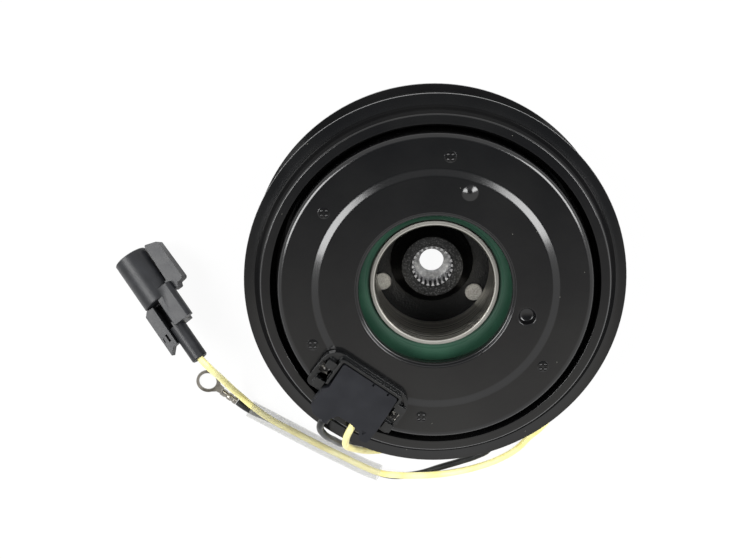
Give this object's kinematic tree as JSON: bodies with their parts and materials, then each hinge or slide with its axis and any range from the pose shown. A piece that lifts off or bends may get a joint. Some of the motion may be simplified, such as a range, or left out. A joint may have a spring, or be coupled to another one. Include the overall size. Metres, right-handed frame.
{
  "type": "compressor clutch",
  "caption": "Electromagnetic air conditioning compressor clutch with a grooved belt pulley, splined hub, sealed bearing, field coil, terminal box, leads, plug and ring terminal.",
  "frame": {"origin": "on the clutch axis, at the front face of the stop plate that the clutch lies on", "axes": "+Z along the clutch axis from the front (armature) side to the compressor side, +X to the right and +Y away from the terminal box in the picture"},
  "size_m": [0.1789, 0.1539, 0.0507],
  "materials": {
    "black_coat": "gloss black e-coat",
    "ground_steel": "fine turned and ground",
    "bare_steel": "dull bare steel",
    "phosphated_steel": "dark phosphated",
    "green_rubber": "satin dark green",
    "black_rubber": "matt black",
    "cage_plastic": "natural",
    "copper": "enamelled copper",
    "bobbin_plastic": "natural",
    "resin": "dark potting resin",
    "black_moulding": "gloss black",
    "grey_plastic": "satin charcoal",
    "tinned_brass": "dull tin",
    "yellow_insulation": "satin yellow",
    "black_insulation": "satin black",
    "clear_tube": "clear, slightly milky"
  },
  "bodies": {
    "stator": {"mounting_plate": "black_coat", "coil_shell": "black_coat", "coil_bobbin": "bobbin_plastic", "coil_winding": "copper", "coil_resin": "resin", "bearing_inner_ring": "ground_steel", "terminal_base": "black_moulding", "terminal_lid": "grey_plastic", "left_terminal": "tinned_brass", "right_terminal": "tinned_brass", "suppression_diode": "black_rubber", "yellow_lead": "yellow_insulation", "black_lead": "black_insulation", "clear_sleeve": "clear_tube", "ring_terminal": "tinned_brass", "plug_housing": "grey_plastic", "plug_lock": "grey_plastic", "plug_pin": "tinned_brass"},
    "pulley": {"pulley_rotor": "black_coat", "bearing_outer_ring": "ground_steel", "bearing_seal_back": "green_rubber", "bearing_seal_front": "black_rubber", "snap_ring": "bare_steel"},
    "cage": {"bearing_cage": "cage_plastic", "bearing_ball_01": "ground_steel", "bearing_ball_02": "ground_steel", "bearing_ball_03": "ground_steel", "bearing_ball_04": "ground_steel", "bearing_ball_05": "ground_steel", "bearing_ball_06": "ground_steel", "bearing_ball_07": "ground_steel", "bearing_ball_08": "ground_steel", "bearing_ball_09": "ground_steel", "bearing_ball_10": "ground_steel", "bearing_ball_11": "ground_steel", "bearing_ball_12": "ground_steel"},
    "hub": {"splined_hub": "phosphated_steel", "stop_plate": "black_coat", "hub_rivet_1": "bare_steel", "hub_rivet_2": "bare_steel", "hub_rivet_3": "bare_steel", "leaf_spring_1": "bare_steel", "leaf_spring_2": "bare_steel", "leaf_spring_3": "bare_steel", "rubber_buffer_1": "black_rubber", "rubber_buffer_2": "black_rubber", "rubber_buffer_3": "black_rubber"},
    "armature": {"armature_plate": "bare_steel", "armature_rivet_1": "bare_steel", "armature_rivet_2": "bare_steel", "armature_rivet_3": "bare_steel"}
  },
  "joints": [
    {"name": "pulley_spin", "type": "hinge", "parent": "stator", "child": "pulley", "pos_m": [0, 0, 0.02515], "axis": [0, 0, 1], "continuous": true},
    {"name": "cage_spin", "type": "hinge", "parent": "stator", "child": "cage", "pos_m": [0, 0, 0.02515], "axis": [0, 0, 1], "continuous": true},
    {"name": "hub_spin", "type": "hinge", "parent": "stator", "child": "hub", "pos_m": [0, 0, 0.0034], "axis": [0, 0, 1], "continuous": true},
    {"name": "armature_slide", "type": "slide", "parent": "hub", "child": "armature", "axis": [0, 0, 1], "range_m": [0, 0.0005], "stiffness_N_per_m": 20000, "deforming": ["leaf_spring_1", "leaf_spring_2", "leaf_spring_3"]}
  ],
  "couplings": [
    {"joint": "cage_spin", "follows": "pulley_spin", "ratio": 0.5625}
  ]
}
